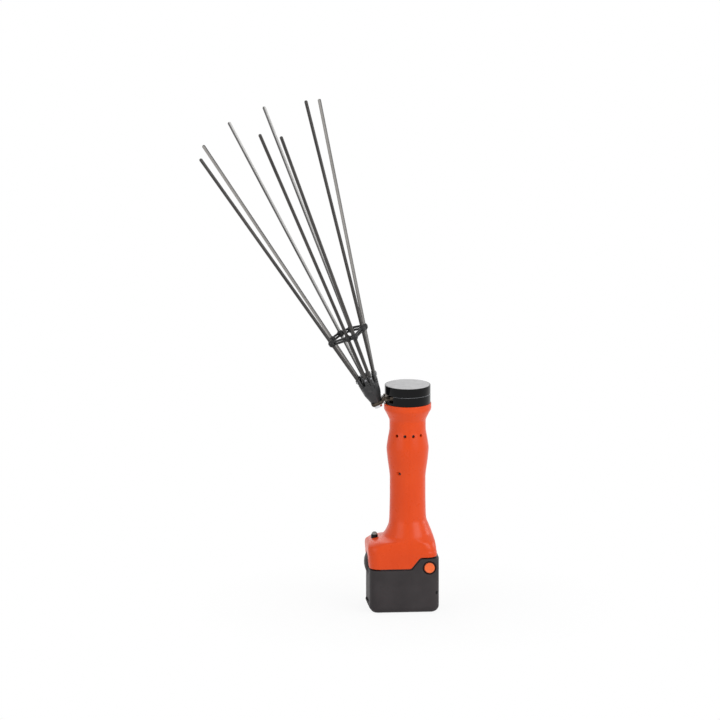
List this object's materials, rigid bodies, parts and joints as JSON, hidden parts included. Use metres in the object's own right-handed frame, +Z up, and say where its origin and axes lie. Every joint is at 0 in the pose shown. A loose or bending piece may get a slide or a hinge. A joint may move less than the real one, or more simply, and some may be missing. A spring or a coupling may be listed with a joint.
{
  "type": "electric olive harvester",
  "caption": "Hand-held battery olive harvester: a bottle-shaped grip whose crank head swings a bracket with a braced fan of straight rods, on a slide-off battery foot.",
  "frame": {"origin": "on the grip's axis at the battery pack's flat bottom face", "axes": "+Z up along the grip towards the rods; the rods lean towards -X, and -Y is the front"},
  "size_m": [0.3261, 0.1667, 0.7082],
  "materials": {
    "orange_shell": "fine-textured moulded plastic",
    "black_moulding": "satin glass-filled plastic",
    "grey_plate": "matt",
    "pack_grey": "fine-textured moulded plastic",
    "orange_button": "satin",
    "pale_button": "satin",
    "rod_fibre": "satin fibre-reinforced",
    "brace_rubber": "moulded",
    "arm_steel": "dull, dark",
    "bright_steel": "plated",
    "motor_steel": "machined",
    "copper_core": "wound and varnished",
    "light_alloy": "die-cast",
    "gear_brass": "machined",
    "bronze": "sintered",
    "contact_brass": "stamped",
    "strap_nickel": "stamped",
    "cell_wrap": "shrink-wrapped",
    "inner_plastic": "moulded",
    "board_green": "laminate",
    "lead_red": "insulated",
    "dark_lens": "clear over dark"
  },
  "bodies": {
    "handle": {"shell_left": "orange_shell", "shell_right": "orange_shell", "shell_screws": "bright_steel", "head_ring": "black_moulding", "head_cap": "black_moulding", "top_plate": "grey_plate", "cap_screws": "bright_steel", "gearbox_screws": "bright_steel", "pivot_pin": "bright_steel", "motor_can": "motor_steel", "motor_magnets": "motor_steel", "motor_end_cap": "inner_plastic", "motor_mounts": "brace_rubber", "motor_plate": "light_alloy", "ring_gear": "motor_steel", "bearing_nose": "light_alloy", "output_bearings": "bright_steel", "handle_deck": "inner_plastic", "circuit_board": "board_green", "board_parts": "inner_plastic", "handle_contacts": "contact_brass", "switch_body": "inner_plastic", "power_bezel": "black_moulding", "motor_leads": "lead_red"},
    "arm": {"swing_arm": "arm_steel", "arm_bush": "bronze", "rod_bracket": "arm_steel", "arm_bolt": "bright_steel", "arm_nut": "bright_steel", "carrier_bolt": "bright_steel", "rod_carrier": "black_moulding", "rod_1": "rod_fibre", "rod_2": "rod_fibre", "rod_3": "rod_fibre", "rod_4": "rod_fibre", "rod_5": "rod_fibre", "rod_6": "rod_fibre", "rod_7": "rod_fibre", "rod_8": "rod_fibre", "rod_brace": "brace_rubber"},
    "crank": {"planet_carrier": "motor_steel", "planet_pins": "bright_steel", "crank_disc": "motor_steel", "crank_roller": "bright_steel"},
    "rotor": {"motor_armature": "copper_core", "sun_gear": "gear_brass"},
    "planet_1": {"planet_gear_1": "gear_brass"},
    "planet_2": {"planet_gear_2": "gear_brass"},
    "planet_3": {"planet_gear_3": "gear_brass"},
    "power_button": {"power_button": "pale_button"},
    "battery": {"battery_case": "pack_grey", "battery_lid": "pack_grey", "cell_holders": "inner_plastic", "battery_cells": "cell_wrap", "cell_straps": "strap_nickel", "battery_contacts": "contact_brass", "charge_light": "dark_lens", "release_springs": "bright_steel"},
    "release_front": {"release_button_front": "orange_button"},
    "release_rear": {"release_button_rear": "orange_button"}
  },
  "joints": [
    {"name": "arm_swing", "type": "hinge", "parent": "handle", "child": "arm", "pos_m": [-0.016, 0, 0.29], "axis": [0, 0, 1], "range_deg": [-15, 15]},
    {"name": "crank_turn", "type": "hinge", "parent": "handle", "child": "crank", "pos_m": [0, 0, 0.25], "axis": [0, 0, 1], "range_deg": [-90, 90]},
    {"name": "motor_spin", "type": "hinge", "parent": "handle", "child": "rotor", "pos_m": [0, 0, 0.18], "axis": [0, 0, 1], "range_deg": [-360, 360]},
    {"name": "planet_1_spin", "type": "hinge", "parent": "crank", "child": "planet_1", "pos_m": [0.012, 0, 0.2135], "axis": [0, 0, 1], "range_deg": [-270, 270]},
    {"name": "planet_2_spin", "type": "hinge", "parent": "crank", "child": "planet_2", "pos_m": [-0.006, 0.01039, 0.2135], "axis": [0, 0, 1], "range_deg": [-270, 270]},
    {"name": "planet_3_spin", "type": "hinge", "parent": "crank", "child": "planet_3", "pos_m": [-0.006, -0.01039, 0.2135], "axis": [0, 0, 1], "range_deg": [-270, 270]},
    {"name": "power_button_press", "type": "slide", "parent": "handle", "child": "power_button", "axis": [0, 0, -1], "range_m": [0, 0.002], "stiffness_N_per_m": 800},
    {"name": "battery_slide", "type": "slide", "parent": "handle", "child": "battery", "axis": [0, 0, -1], "range_m": [0, 0.075]},
    {"name": "release_front_press", "type": "slide", "parent": "battery", "child": "release_front", "axis": [0, 1, 0], "range_m": [0, 0.003], "stiffness_N_per_m": 900, "deforming": ["release_springs"]},
    {"name": "release_rear_press", "type": "slide", "parent": "battery", "child": "release_rear", "axis": [0, -1, 0], "range_m": [0, 0.003], "stiffness_N_per_m": 900}
  ],
  "couplings": [
    {"joint": "crank_turn", "follows": "arm_swing", "ratio": 6},
    {"joint": "motor_spin", "follows": "arm_swing", "ratio": 24},
    {"joint": "planet_1_spin", "follows": "arm_swing", "ratio": -18},
    {"joint": "planet_2_spin", "follows": "arm_swing", "ratio": -18},
    {"joint": "planet_3_spin", "follows": "arm_swing", "ratio": -18}
  ]
}
